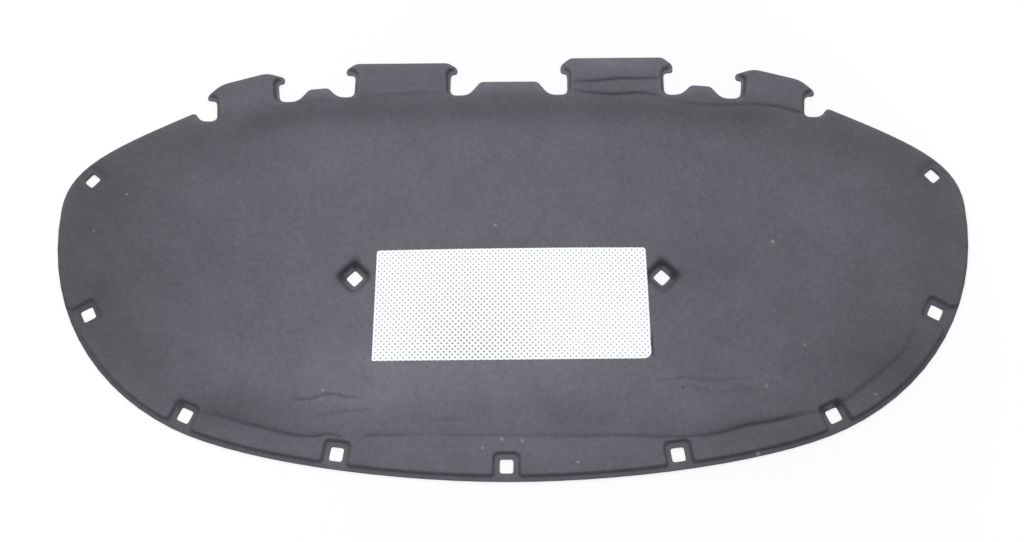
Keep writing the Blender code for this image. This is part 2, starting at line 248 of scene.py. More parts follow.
def cut_loops(node):
    """The closed loops round the flat back of a solid, in plan millimetres, the longest first."""
    bm = bmesh.new()
    bm.from_mesh(node.data)
    bmesh.ops.remove_doubles(bm, verts=bm.verts, dist=SAME_PLACE)
    beside = {}
    for edge in bm.edges:
        backs = [face.normal.z < FACES_DOWN for face in edge.link_faces]
        if len(backs) == 2 and backs[0] != backs[1]:
            for here, there in (edge.verts, reversed(edge.verts)):
                beside.setdefault(here, []).append(there)
    loops = []
    while beside:
        start = here = next(iter(beside))
        loop = []
        while here is not None:
            loop.append((here.co.x / MM, here.co.y / MM + PAD_DEPTH / 2))
            ends = beside.pop(here)
            here = next((there for there in ends if there in beside), None)
        loops.append(anticlockwise(np.array(loop)))
    bm.free()
    return sorted(loops, key=len, reverse=True)


def anticlockwise(loop):
    """The same loop, turned round if it runs clockwise."""
    ahead = np.roll(loop, -1, axis=0)
    area = np.sum(loop[:, 0] * ahead[:, 1] - ahead[:, 0] * loop[:, 1])
    return loop if area > 0 else loop[::-1]


rim_loop, *hole_loops = cut_loops(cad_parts["insulation_pad"])
print("rim has", len(rim_loop), "corners;", len(hole_loops), "clip holes")

# %% [markdown]
# ## Lines in plan
# The relief of the pad is a matter of distances: so far in from the rim, so far from a crease. So
# each line becomes a row of close points with a search tree, and one call measures how far many
# places lie from it, and on which side.

# %% Smooth, even lines, and distances from them
def softened(points, closed, rounds=2):
    """Cuts each corner at a quarter of its edges, over and over, which rounds the line."""
    line = np.asarray(points, float)
    for _ in range(rounds):
        ahead = np.roll(line, -1, axis=0) if closed else line[1:]
        here = line if closed else line[:-1]
        cut = np.stack([here * 0.75 + ahead * 0.25, here * 0.25 + ahead * 0.75], axis=1).reshape(-1, 2)
        line = cut if closed else np.vstack([line[:1], cut, line[-1:]])
    return line


def evenly(points, spacing, closed):
    """The same line as evenly spaced points."""
    line = np.vstack([points, points[:1]]) if closed else np.asarray(points, float)
    along = np.r_[0, np.cumsum(np.hypot(*np.diff(line, axis=0).T))]
    at = np.linspace(0, along[-1], int(round(along[-1] / spacing)) + 1)
    at = at[:-1] if closed else at
    return np.c_[np.interp(at, along, line[:, 0]), np.interp(at, along, line[:, 1])]


class PlanLine:
    """A line in plan that can say how far places lie from it."""

    def __init__(self, points, closed=False, rounds=2, spacing=1.0):
        self.closed = closed
        self.points = evenly(softened(points, closed, rounds), spacing, closed)
        self.tree = kdtree.KDTree(len(self.points))
        for index, (x, y) in enumerate(self.points):
            self.tree.insert((x, y, 0), index)
        self.tree.balance()

    def measure(self, places):
        """Distance of each place, above zero on the line's left, and its share of the way along."""
        count = len(self.points)
        nearest = np.array([self.tree.find((x, y, 0))[1] for x, y in places], dtype=int)
        best = np.full(len(places), np.inf)
        signed = np.zeros(len(places))
        for step in (-1, 0):
            first = nearest + step
            first = first % count if self.closed else np.clip(first, 0, count - 2)
            start, edge = self.points[first], self.points[(first + 1) % count] - self.points[first]
            away = places - start
            share = np.clip((away * edge).sum(1) / (edge * edge).sum(1), 0, 1)
            gap = away - share[:, None] * edge
            length = np.hypot(*gap.T)
            side = np.where(edge[:, 0] * away[:, 1] - edge[:, 1] * away[:, 0] >= 0, 1, -1)
            closer = length < best
            best = np.where(closer, length, best)
            signed = np.where(closer, length * side, signed)
        return signed, nearest / count

    def directions(self):
        """The direction of the line at each of its points."""
        ahead = np.roll(self.points, -1, axis=0) - np.roll(self.points, 1, axis=0)
        if not self.closed:
            ahead[0] = self.points[1] - self.points[0]
            ahead[-1] = self.points[-1] - self.points[-2]
        return ahead / np.hypot(*ahead.T)[:, None]

    def shifted(self, distance):
        """The points of the line, each moved this far to its left."""
        return self.points + self.directions()[:, ::-1] * (-1, 1) * distance

    def beside(self, distance, spacing):
        """Points that run along the line at a distance to its left."""
        return self.shifted(distance)[:: max(int(round(spacing)), 1)]


rim = PlanLine(rim_loop, closed=True, rounds=0)
print("rim is", len(rim.points), "mm long")

# %% [markdown]
# ## Where the felt is pressed thin
# Pressing leaves low places: a flange along the front rim, a pocket round each clip hole, the ears
# of the T-shaped tabs and the small flaps between them. Each of these is stated as a distance
# function, below zero inside it. The felt then rises from the nearest one. This is kinder to soft
# shapes than cutting them out one by one, because all corners blend by themselves.

# %% Sizes of the relief in millimetres
FLANGE = 3.0
BAND = 9.0
FIELD_RISE = 3.0
FLANGE_WIDTH = 5.5
SIDE_CLIP_Y = 222.0
POCKET_HALF = 15.0
RECESS_HALF = 13.6
POCKET_ROUNDING = 5.5
WALL = 4.2
RECESS_WALL = 8.5
DISH = 5.5
DISH_WALL = 13.0
EAR_WALL = 5.0
RIM_LAND = 0.6
RIM_ROLL = 8.0
FAR = 1e3


def smooth_share(value, low, high):
    """How far a value is on its way from low to high, from 0 to 1, with soft ends."""
    share = np.clip((value - low) / (high - low), 0, 1)
    return share * share * (3 - 2 * share)


def blended(a, b, reach):
    """The smaller of two distances, with the corner between them rounded."""
    share = np.clip(0.5 + 0.5 * (b - a) / reach, 0, 1)
    return b + (a - b) * share - reach * share * (1 - share)


def box_distance(across, along, rounding):
    """Distance from a rounded corner region, given how far each place is past its two edges."""
    across, along = across + rounding, along + rounding
    outside = np.hypot(np.maximum(across, 0), np.maximum(along, 0))
    return outside + np.minimum(np.maximum(across, along), 0) - rounding


print("felt in mm: flange", FLANGE, "band", BAND, "field", BAND + FIELD_RISE)

# %% Clip holes: place and direction of each
INNER_CLIP_DEPTH = 100  # a clip hole farther in than this is one of the two beside the foil
OPEN_POCKETS_TO_Y = SIDE_CLIP_Y + 50


def clip_of(loop):
    """Middle of a clip hole, the direction of the rim beside it, and whether its pocket is open."""
    middle = loop.mean(0)
    depth, share = rim.measure(middle[None])
    if depth[0] > INNER_CLIP_DEPTH:
        return middle, np.array((cos(pi / 4), sin(pi / 4))), False
    along = rim.directions()[int(share[0] * len(rim.points)) % len(rim.points)]
    return middle, along, middle[1] < OPEN_POCKETS_TO_Y


def beside_clip(places, clip):
    """How far places lie from a clip, along the rim and in from it."""
    middle, along, _ = clip
    away = places - middle
    return away @ along, away @ np.array((-along[1], along[0]))


clips = [clip_of(loop) for loop in hole_loops]
print(sum(clip[2] for clip in clips), "open pockets and", sum(not clip[2] for clip in clips), "closed ones")

# %% Sizes of the low regions
# The darkness of each wall here is painted shade.
NOTCH_SIDES = (  # foot and tip of a neck's side on the rim, width of its thin strip, how dark its wall is
    ((84.4, 555.1), (77.6, 599.8), 2.4, 0.7),
    ((225.4, 554.9), (237.7, 598.5), 2.2, 0.8),
    ((333.6, 546.5), (330.2, 580.6), 2.6, 0.9),
    ((422.7, 515.5), (436.0, 556.5), 2.0, 0.7),
    ((-84.4, 555.1), (-77.6, 593.3), 3.0, 1.0),
    ((-225.4, 554.9), (-237.7, 592.0), 2.0, 0.6),
    ((-333.6, 546.5), (-330.2, 580.6), 3.6, 1.0),
    ((-422.7, 515.5), (-436.0, 556.5), 2.2, 0.6),
)
EAR_STRIP = 5.5
EARS_FROM_Y = 490
STRIP_WIDENS = (0.35, 0.75)  # shares of the way from a foot to a tip
STRIP_NARROWS = (0.85, 1.0)
WALL_FADES = (0.75, 0.97)
FLAPS = ((0.0, 64.0, 556.0), (278.0, 33.0, 552.0), (-278.0, 33.0, 552.0))  # middle x, half width, foot y
FLAP_HEIGHT = 6.0
FLAP_WALL = 9.0
FLAP_ROUNDING = 2.0
FLANGE_END = (SIDE_CLIP_Y + 2, SIDE_CLIP_Y + 20)  # the flange runs out between these, past the side clips
FLANGE_FADE = 26
POCKET_BLEND = 5.0
RIM_POCKETS_FROM_X = 400  # closed pockets farther out than this lie at the rim
print(len(NOTCH_SIDES), "thin strips beside the necks and", len(FLAPS), "flaps")

# %% Distances from the low regions
def flange_distance(places, inset):
    """Distance from the front flange and the open pockets that run into it."""
    width = FLANGE_WIDTH - FLANGE_FADE * smooth_share(places[:, 1], *FLANGE_END)
    distance = inset - width
    for clip in clips:
        if clip[2]:
            along, inward = beside_clip(places, clip)
            pocket = box_distance(np.abs(along) - POCKET_HALF, inward - POCKET_HALF, POCKET_ROUNDING)
            distance = blended(distance, pocket, POCKET_BLEND)
    return distance


def recess_distance(places, at_rim):
    """Distance from the nearest closed pocket, of those at the rim or of the inner ones."""
    distance = np.full(len(places), FAR)
    for clip in clips:
        if not clip[2] and at_rim == (abs(clip[0][0]) > RIM_POCKETS_FROM_X):
            along, inward = beside_clip(places, clip)
            box = box_distance(np.abs(along) - RECESS_HALF, np.abs(inward) - RECESS_HALF, POCKET_ROUNDING)
            distance = np.minimum(distance, box)
    return distance


def rim_between(foot, tip):
    """The shorter stretch of the rim between two places beside it."""
    start, end = (int(np.hypot(*(rim.points - place).T).argmin()) for place in (foot, tip))
    count = len(rim.points)
    if (end - start) % count > count / 2:
        start, end = end, start
    stretch = rim.points[(start + np.arange((end - start) % count + 1)) % count]
    return stretch if np.hypot(*(stretch[0] - foot)) < np.hypot(*(stretch[-1] - foot)) else stretch[::-1]


notch_sides = [(PlanLine(rim_between(foot, tip), rounds=0), *rest) for foot, tip, *rest in NOTCH_SIDES]


def ear_distance(places):
    """Distance from the thin strips beside the necks and round the ears, and the painted shade of the nearest
    wall.
    """
    distance, dark = np.full(len(places), FAR), np.zeros(len(places))
    near = np.flatnonzero(places[:, 1] > EARS_FROM_Y)
    for line, strip, shade in notch_sides:
        away, share = line.measure(places[near])
        width = strip + (EAR_STRIP - strip) * smooth_share(share, *STRIP_WIDENS)
        away = np.abs(away) - width * (1 - 0.5 * smooth_share(share, *STRIP_NARROWS))
        closer = away < distance[near]
        dark[near[closer]] = (shade * (1 - smooth_share(share, *WALL_FADES)))[closer]
        distance[near[closer]] = away[closer]
    return distance, dark


def flap_distance(places):
    """Distance from the small flaps between the T-shaped tabs."""
    distance = np.full(len(places), FAR)
    for middle, half, foot_y in FLAPS:
        across = np.abs(places[:, 0] - middle) - half
        distance = np.minimum(distance, box_distance(across, foot_y - places[:, 1], FLAP_ROUNDING))
    return distance


def step_distance(places):
    """Distance from the foot of the nearest crisp wall."""
    inset = rim.measure(places)[0]
    edges = (flange_distance(places, inset), recess_distance(places, False), recess_distance(places, True),
             ear_distance(places)[0])
    return np.minimum.reduce(edges)


from_wall = step_distance(np.array([[0.0, 300.0]]))[0]
print("the middle lies", round(float(from_wall)), "mm from the nearest wall")

# %% [markdown]
# ## Creases and wrinkles
# The thick middle of the pad rises from the band round it at a moulded crease, sharp along the
# front and fading at the sides. The cover fleece also wrinkled here and there as the mould closed.
# These lines are irregular on the real pad, so they are drawn through listed points, with a softness for
# each.

# %% Lines drawn on the felt
FIELD_EDGE = (
    (-60, 57), (30, 56), (102, 56), (145, 57), (190, 55), (222, 55), (262, 58), (300, 70), (322, 73),
    (345, 77), (376, 85), (398, 87), (415, 92), (433, 105), (450, 117), (466, 129), (484, 142), (515, 168),
    (532, 207), (560, 262), (584, 325), (578, 392), (545, 450), (480, 492), (412, 515), (385, 524),
    (355, 528), (326, 528), (304, 527), (271, 528), (254, 531), (226, 537), (165, 539), (112, 540),
    (57, 541), (-74, 541), (-150, 540), (-207, 541), (-263, 538), (-301, 536), (-350, 528), (-418, 510),
    (-480, 492), (-545, 450), (-578, 392), (-584, 330), (-560, 262), (-512, 205), (-476, 148),
    (-428, 104), (-391, 86), (-365, 82), (-345, 75), (-319, 69), (-296, 63), (-264, 56), (-240, 55),
    (-222, 60), (-196, 47), (-180, 57), (-153, 56), (-125, 58),
)
CRISP_EDGE = (  # place along x, and how sharp the front crease is there
    (-440, 0.0), (-400, 0.2), (-360, 0.45), (-320, 0.7), (-230, 0.75), (-210, 0.5), (-204, 0.0),
    (-184, 0.0), (-176, 0.6), (-140, 0.4), (-95, 0.1), (-60, 0.3), (40, 0.35), (120, 0.45), (200, 0.55),
    (260, 0.75), (300, 1.0), (350, 0.95), (375, 0.45), (430, 0.5), (480, 0.45), (530, 0.2), (560, 0.0),
)
CRISP_BEND = (  # the same for the rear one
    (-460, 0.0), (-400, 0.1), (-300, 0.15), (-100, 0.1), (180, 0.0), (230, 0.1), (270, 0.5), (310, 0.5),
    (335, 0.4), (365, 0.7), (410, 0.7), (435, 0.1), (470, 0.0),
)
GROOVES = (  # points, depth and half width in mm
    (((86, 567), (127, 569), (160, 573), (190, 572), (224, 574)), 1.3, 2.8),
    (((93, 554), (124, 548), (159, 546), (189, 550), (219, 542)), 1.2, 3.0),
    (((-212, 546), (-183, 548), (-157, 549), (-128, 550), (-90, 552)), 0.35, 2.8),
    (((186, 125), (205, 127), (226, 131), (250, 127), (272, 126), (294, 128), (312, 130)), 0.35, 1.7),
    (((225, 120), (249, 113), (271, 110), (293, 115), (321, 114), (346, 106)), 0.2, 2.0),
    (((-274, 102), (-251, 102), (-239, 107), (-227, 110), (-213, 107), (-188, 103)), 0.6, 1.8),
    (((-249, 76), (-225, 85), (-199, 88), (-165, 89)), 0.3, 2.2),
    (((-103, 77), (-84, 75), (-59, 78)), 0.3, 2.0),
    (((-196, 152), (-186, 142), (-181, 128), (-172, 118)), 0.25, 2.2),
    # beside the foil's right edge: its dark line is painted shade from the lifted foil
    (((187.9, 157), (188.3, 172), (188.1, 189)), 1.2, 1.3),
    (((-424, 392), (-408, 424), (-363, 437), (-322, 424), (-300, 392)), 0.12, 2.6),
)

field_edge = PlanLine(FIELD_EDGE, closed=True, rounds=3)
grooves = [(PlanLine(points, rounds=3), depth, width) for points, depth, width in GROOVES]
print("crease round the field:", len(field_edge.points), "mm;", len(grooves), "freehand grooves")

# %% [markdown]
# ## Height of the top surface
# In the end one function takes places in plan and gives the height of the felt there, and how much
# painted shade it gets, which the material turns into a darker colour: painted shade on the walls,
# in the creases and pocket corners and under the foil, with one real dark spot. We come to it in
# four cells: listed tone and marks, the band and the field, the shades, and then the low places,
# which are cut into the rest.

# %% Tone, painted light and shade, and marks, listed one by one
# Some of these patches are painted light: the broad light one at the front left is a painted highlight, and
# the dark ones at the ends and behind the creases are painted shade.
TONE_AND_LIGHT_PATCHES = (  # middle, reach along x and y in mm, and how much lighter the web is there
    ((-130, 135), (190, 55), 0.26),
    ((-210, 100), (55, 20), 0.16),
    ((-20, 152), (130, 12), 0.14),
    ((-185, 225), (40, 45), 0.1),
    ((-250, 440), (80, 40), 0.07),
    ((150, 125), (170, 45), 0.08),
    ((440, 370), (60, 90), 0.12),
    ((30, 40), (130, 14), 0.09),
    ((155, 598), (75, 14), 0.32),
    ((-155, 595), (75, 16), 0.04),
    ((375, 555), (50, 30), 0.12),
    ((-380, 545), (50, 25), 0.1),
    ((-600, 330), (130, 150), -0.18),
    ((-545, 225), (40, 50), -0.17),
    ((-480, 165), (50, 35), -0.13),
    ((-410, 300), (60, 60), -0.08),
    ((-340, 92), (80, 26), -0.24),
    ((10, 92), (140, 18), -0.09),
    ((105, 77), (45, 9), -0.1),
    ((350, 58), (75, 22), -0.17),
    ((345, 100), (60, 12), -0.08),
    ((465, 148), (60, 42), -0.2),
    ((520, 150), (60, 70), -0.08),
    ((250, 285), (45, 45), -0.1),
    ((-440, 470), (85, 35), -0.14),
    ((440, 468), (95, 35), -0.15),
    ((-545, 400), (40, 60), -0.07),
    ((545, 400), (40, 60), -0.08),
)
FLAP_TONE = 0.14
REAR_SHADE = 0.24
LINT = (  # place and radius of each speck that lies on the felt, in mm
    (-17, 342, 1.9), (356, 316, 2.4), (314, 35, 2.4), (-6, 52, 2.5), (20, 50, 1.9), (-30, 41, 1.6),
    (89, 24, 1.8), (384, 173, 1.4), (330, 119, 1.4), (467, 109, 1.6), (-236, 114, 1.7), (-531, 391, 1.6),
    (-569, 337, 1.4),
)
SPOT = (224, 118, 1.2)  # a dark one, by a wrinkle
# Painted shade in the corners of the pockets.
POCKET_CORNER_SHADES = (  # place, reach and darkness, by the inner pockets and the two front corner pockets
    (-206, 287, 8, 0.9), (-223, 268, 8, 0.75), (-188, 271, 5, 0.5), (206, 288, 7, 0.8), (223, 271, 8, 0.9),
    (188, 271, 5, 0.5), (419, 97, 6, 0.95), (401, 89, 6, 0.75), (-420, 97, 6, 0.6),
)


def speck(places, x, y, radius):
    """1 on a speck of lint, and 0 off it."""
    return 1 - smooth_share(np.hypot(*(places - (x, y)).T), 0.3 * radius, 1.5 * radius)


def pocket_corner_shade(places):
    """Painted shade in the corners of the pockets, soft and dark."""
    shade = np.zeros(len(places))
    for x, y, reach, dark in POCKET_CORNER_SHADES:
        away = np.hypot(*(places - (x, y)).T) / reach
        shade = np.maximum(shade, dark * np.exp(-(away**2)))
    return shade


print(len(TONE_AND_LIGHT_PATCHES), "soft patches,", len(LINT), "specks of lint,", len(POCKET_CORNER_SHADES), "deep corners")

# %% Height of the band and the field
NOISE_SEED = Vector((7.3, 2.1, 0.0))
WAVES = ((0.35, 70), (0.15, 24))  # height and size of each set of waves, in mm
WALL_BULGE = 2.4
HALFWAY_Y = 300  # parts the front crease from the rear one
SHARP_RISE = (0, 12)
SOFT_RISE = (-16, 34)
CREASE_DEPTH = 0.9
CREASE_SHADE = 0.75
FRONT_CREASE = 1.9  # half widths
FRONT_CREASE_GAIN = 0.9
FRONT_CREASE_WIDENS = (220, 300)
REAR_CREASE = 2.8
GROOVE_TAPER = 0.4
GROOVE_SHADE = 0.7
LIP_HEIGHT = 0.35  # of the soft lip beside a groove, as shares of its depth and width
LIP_PLACE = 2.6
LIP_WIDTH = 1.8


def rise(distance, width):
    """A wall that starts steeply at its foot and rounds over at its top, from 0 to 1."""
    return 1 - (1 - np.clip(distance / width, 0, 1)) ** WALL_BULGE


def rolling(places, size):
    """Soft random hills about so many millimetres across, between -1 and 1."""
    return np.array([noise.noise(Vector((x, y, 0)) / size + NOISE_SEED) for x, y in places])


def swell(places):
    """The slight waves of the whole web, which the foil follows."""
    return sum(height * rolling(places, size) for height, size in WAVES)


def dip(distance, width):
    """A soft hollow, 1 in its middle and nearly 0 at twice its half width."""
    return np.exp(-((distance / width) ** 2))


def field_height(places):
    """Height of the band and the field, without its pockets, and the painted shade of its crease and grooves.
    """
    inside, _ = field_edge.measure(places)
    x, y = places.T
    front = y < HALFWAY_Y
    crisp = np.interp(x, *zip(*CRISP_EDGE)) * front + np.interp(x, *zip(*CRISP_BEND)) * ~front
    sharp = smooth_share(inside, *SHARP_RISE)
    soft = smooth_share(inside, *SOFT_RISE)
    height = BAND + FIELD_RISE * (sharp * crisp + soft * (1 - crisp))
    front_width = FRONT_CREASE + FRONT_CREASE_GAIN * smooth_share(np.abs(x), *FRONT_CREASE_WIDENS)
    crease = dip(inside, np.where(front, front_width, REAR_CREASE)) * crisp
    height = height - CREASE_DEPTH * crease
    shade_and_spot = CREASE_SHADE * crease
    for line, depth, width in grooves:
        distance, share = line.measure(places)
        taper = np.clip(np.sin(pi * share), 0, 1) ** GROOVE_TAPER
        mark = dip(distance, width) * taper
        lip = LIP_HEIGHT * depth * dip(distance + LIP_PLACE * width, LIP_WIDTH * width) * taper
        height = height - depth * mark + lip
        shade_and_spot = shade_and_spot + min(depth, 1.0) * GROOVE_SHADE * mark
    return height + swell(places), shade_and_spot


print("band and field at the middle:", round(float(field_height(np.array([[0.0, 400.0]]))[0][0]), 2), "mm")

# %% How light the felt is, with painted light, and the painted shade on its walls
# A band of painted shade lies behind the field.
REAR_FROM_Y = 470  # the darker band behind the field: where it starts, how far out it reaches
REAR_REACH_X = 410
REAR_FADE = 60
REAR_INSET = 19
REAR_WIDTH = 25
FLAP_FADE = (-8, 2)
PALE_SIDE = 0.15  # the free edge behind the side clips, and how much paler it is at the rear
PALE_REAR = 0.25
PALE_REAR_Y = (290, 380)
PALE_WIDTH = 7
FRONT_DARK = 0.5
RIGHT_DARKER = 0.1
SHADE_SPAN = 600  # how far right the wall is that much darker
END_LIGHTER = 0.45
ENDS_Y = (60, 180)
INNER_DARK = 0.55
INNER_REAR_DARKER = 0.3
FOIL_MIDDLE = (5, 230)
UNDER_FOIL = (178, 74)  # half sizes of the shaded felt, a little less than the foil's
SHADE_PLACE_X = -40
SHADE_REACH_X = 90


def tone_and_painted_light(places, inset):
    """How light the felt is, around 1: cloudy patches with a painted highlight and painted shade among them,
    painted shade in a band at the rear, and a paler free edge.
    """
    inside, _ = field_edge.measure(places)
    x, y = places.T
    behind = (y > REAR_FROM_Y) * smooth_share(REAR_REACH_X - np.abs(x), 0, REAR_FADE)
    tone = 1 - REAR_SHADE * behind * dip(inside - REAR_INSET, REAR_WIDTH)
    for middle, reach, lighter in TONE_AND_LIGHT_PATCHES:
        away = (places - middle) / reach
        tone = tone + lighter * np.exp(-(away**2).sum(1))
    tone = tone + FLAP_TONE * smooth_share(-flap_distance(places), *FLAP_FADE)
    pale = PALE_SIDE * (y > FLANGE_END[1]) + PALE_REAR * smooth_share(y, *PALE_REAR_Y)
    return tone + pale * dip(inset, PALE_WIDTH)


def front_shade(places):
    """How much painted shade the wall behind the front flange gets: less at the left and at the ends."""
    x, y = places.T
    return (FRONT_DARK + RIGHT_DARKER * x / SHADE_SPAN) * (1 - END_LIGHTER * smooth_share(y, *ENDS_Y))


def recess_shade(places):
    """How much painted shade the wall of an inner pocket gets: most on its rear side."""
    inner = (middle for middle, _, is_open in clips if not is_open and abs(middle[0]) < RIM_POCKETS_FROM_X)
    return INNER_DARK + INNER_REAR_DARKER * smooth_share(places[:, 1] - next(inner)[1], -12, 12)


def shade_under_foil(places):
    """Painted shade on the felt below the foil, which shows through the holes and is darkest left of the
    middle.
    """
    x, y = places.T
    edge = np.maximum(np.abs(x - FOIL_MIDDLE[0]) - UNDER_FOIL[0], np.abs(y - FOIL_MIDDLE[1]) - UNDER_FOIL[1])
    return smooth_share(-edge, 0, 3) * (0.15 + 0.85 * dip(x - SHADE_PLACE_X, SHADE_REACH_X))


shades = shade_under_foil(np.array([[-40.0, 230.0], [150.0, 230.0]]))
print("shade under the foil, left of the middle and at the right:", shades.round(2))

# %% The relief
CREASE_STOPS = (-1, 3)  # a crease fades out as it comes to the foot of a wall
RIM_SHADE = 0.1
DISH_SHADE = 0.15
EAR_SHADE = 0.75
# The dark line on each wall is painted shade.
DARKEST_AT = 0.28  # place of a wall's darkest line and its reach down and up, as shares of its width
DARK_BELOW = 0.34
DARK_ABOVE = 0.46
EDGE_ROUNDING = 1.6
EDGE_DROP = 0.5
LINT_HEIGHT = 0.25


def relief(places):
    """Height of the top surface in mm, and at each place its painted shade with one dark spot, its lightness
    with painted light and shade in it, and its lint.
    """
    inset = rim.measure(places)[0]
    height, shade_and_spot = field_height(places)
    shade_and_spot = shade_and_spot * smooth_share(step_distance(places), *CREASE_STOPS)
    ears, ear_shade = ear_distance(places)
    lows = (
        (inset - RIM_LAND, FLANGE, RIM_ROLL, RIM_SHADE),
        (flange_distance(places, inset), FLANGE, WALL, front_shade(places)),
        (recess_distance(places, False), FLANGE, RECESS_WALL, recess_shade(places)),
        (recess_distance(places, True), DISH, DISH_WALL, DISH_SHADE),
        (ears, FLANGE, EAR_WALL, EAR_SHADE * ear_shade),
        (flap_distance(places), FLAP_HEIGHT, FLAP_WALL, 0.0),
    )
    top = height
    for distance, low, width, shade in lows:
        height = np.minimum(height, low + (top - low) * rise(distance, width))
        past_middle = distance - DARKEST_AT * width
        wall = dip(past_middle, np.where(past_middle < 0, DARK_BELOW, DARK_ABOVE) * width)
        shade_and_spot = np.maximum(shade_and_spot, shade * wall)
    height = np.maximum(height, FLANGE)
    lint = np.maximum.reduce([speck(places, *one) for one in LINT])
    shade_and_spot = np.maximum.reduce((shade_and_spot, pocket_corner_shade(places), shade_under_foil(places), speck(places, *SPOT)))
    round_over = np.clip(1 - inset / EDGE_ROUNDING, 0, 1) ** 2
    height = height - EDGE_DROP * round_over + LINT_HEIGHT * lint
    return height, np.clip(shade_and_spot, 0, 1), tone_and_painted_light(places, inset), lint


print("height at the middle:", round(float(relief(np.array([[0.0, 400.0]]))[0][0]), 2), "mm")

# %% [markdown]
# ## Points for the mesh
# A grid fine enough for the walls would waste a million faces on the flat middle. So points are
# dense only where the surface bends: rows that run exactly along the feet and tops of the walls,
# rows beside each crease, and a loose grid between them. Points that crowd each other are dropped.

# %% Grids, and the places that lie on the felt
holes = [PlanLine(loop, closed=True) for loop in hole_loops]
ROW_STEP = 0.866  # rows this far apart make even triangles
HOLE_REACH = 30  # places this near to a hole's middle are measured from its edge


def grid_points(spacing):
    """A staggered grid over the whole of the pad's box."""
    low, high = rim_loop.min(0), rim_loop.max(0)
    rows = np.arange(low[1], high[1], spacing * ROW_STEP)
    columns = np.arange(low[0], high[0], spacing)
    x, y = np.meshgrid(columns, rows)
    x[1::2] += spacing / 2
    return np.c_[x.ravel(), y.ravel()]


def on_the_felt(places, margin):
    """Which places lie on the felt, this far from every cut edge."""
    keep = rim.measure(places)[0] > margin
    for loop in holes:
        near = np.hypot(*(places - loop.points.mean(0)).T) < HOLE_REACH
        distance = np.full(len(places), -FAR)
        if near.any():
            distance[near] = loop.measure(places[near])[0]
        keep &= distance < -margin
    return keep


print(int(on_the_felt(grid_points(25.0), 0.0).sum()), "places of a 25 mm grid lie on the felt")

# %% Rows along the walls, and points kept apart
SLIDES = 3
TINY_STEP = 0.2
LEAST_STEEPNESS = 0.25
SLIDE_MISS = 0.1  # a place that ends farther than this from its level is dropped
SPECK_RINGS = ((0.7, 8), (1.2, 12), (1.8, 14))  # share of the radius, and points


def slid_to(places, level):
    """Moves places near a wall until they lie exactly this far from its foot."""
    for _ in range(SLIDES):
        value = step_distance(places)
        slope_x = (step_distance(places + (TINY_STEP, 0)) - value) / TINY_STEP
        slope_y = (step_distance(places + (0, TINY_STEP)) - value) / TINY_STEP
        steepness = np.maximum(slope_x**2 + slope_y**2, LEAST_STEEPNESS)
        shift = (value - level) / steepness
        places = places - np.c_[shift * slope_x, shift * slope_y]
    return places[np.abs(step_distance(places) - level) < SLIDE_MISS]


def thinned(places, spacing):
    """Drops each place that is closer than the spacing to one that was kept."""
    cells, kept = {}, []
    for x, y in places:
        column, row = int(x // spacing), int(y // spacing)
        near = (cells.get((column + i, row + j)) for i in (-1, 0, 1) for j in (-1, 0, 1))
        if all(other is None or (other[0] - x) ** 2 + (other[1] - y) ** 2 >= spacing**2 for other in near):
            cells[column, row] = (x, y)
            kept.append((x, y))
    return np.array(kept).reshape(-1, 2)


def clear_of(places, others, spacing):
    """The places that keep a distance from all the others."""
    tree = kdtree.KDTree(len(others))
    for index, (x, y) in enumerate(others):
        tree.insert((x, y, 0), index)
    tree.balance()
    far = [tree.find((x, y, 0))[2] > spacing for x, y in places]
    return places[np.array(far)]


def rings_round(x, y, radius):
    """A point with three rings round it, enough to draw one speck."""
    points = [(x, y)]
    for share, count in SPECK_RINGS:
        turns = np.arange(count) * 2 * pi / count
        points += zip(x + share * radius * np.cos(turns), y + share * radius * np.sin(turns))
    return np.array(points)


print("a speck is drawn with", len(rings_round(*SPOT)), "points")

# %% Gather the points
WALL_ROWS = (-1.4, -0.5, 0.15, 0.8, 1.6, 2.6, 3.6, 5.0, 7.0)
RIM_ROWS = (1.4, 2.6, 4.2, 6.2, 8.6)
LINE_ROWS = (-6.0, -3.6, -2.0, -1.0, 0.0, 1.0, 2.0, 3.6, 6.0, 10.0)
HOLE_ROWS = (-0.7, -1.6)
HOLE_SPACING = 1.5
RIM_SPACING = 2.0
LINE_SPACING = 2.5
WALL_SPACING = 1.25
FINE = 1.6  # spacing of the trial points that are slid to the walls
FINE_MARGIN = 0.9
NEAR_ROW = 1.1  # how near to a row they have to lie for that
CLOSEST = 0.72
EDGE_MARGIN = 1.0
GRIDS = ((3.2, 16.0), (6.5, FAR))  # spacing of a grid, and how far from a wall's foot it reaches
GRID_GAP = 0.62  # its gap to the other points, as a share of its spacing


def gathered_points():
    """Every point inside the rim, from the closest rows to the loosest grid."""
    fine = grid_points(FINE)
    fine = fine[on_the_felt(fine, FINE_MARGIN)]
    distance = step_distance(fine)
    rows = [rings_round(*one) for one in (*LINT, SPOT)]
    rows += [loop.beside(side, HOLE_SPACING) for loop in holes for side in HOLE_ROWS]
    rows += [rim.beside(inset, RIM_SPACING) for inset in RIM_ROWS]
    for level in WALL_ROWS:
        near = fine[np.abs(distance - level) < NEAR_ROW]
        rows.append(thinned(slid_to(near, level), WALL_SPACING))
    for line in [field_edge] + [groove[0] for groove in grooves]:
        rows += [line.beside(offset, LINE_SPACING) for offset in LINE_ROWS]
    points = thinned(np.vstack(rows), CLOSEST)
    points = points[on_the_felt(points, EDGE_MARGIN)]
    for spacing, reach in GRIDS:
        grid = grid_points(spacing)
        grid = grid[on_the_felt(grid, spacing / 2)]
        grid = grid[np.abs(step_distance(grid)) < reach]
        points = np.vstack([points, clear_of(grid, points, spacing * GRID_GAP)])
    return points


inner_points = gathered_points()
print(len(inner_points), "points inside the rim")

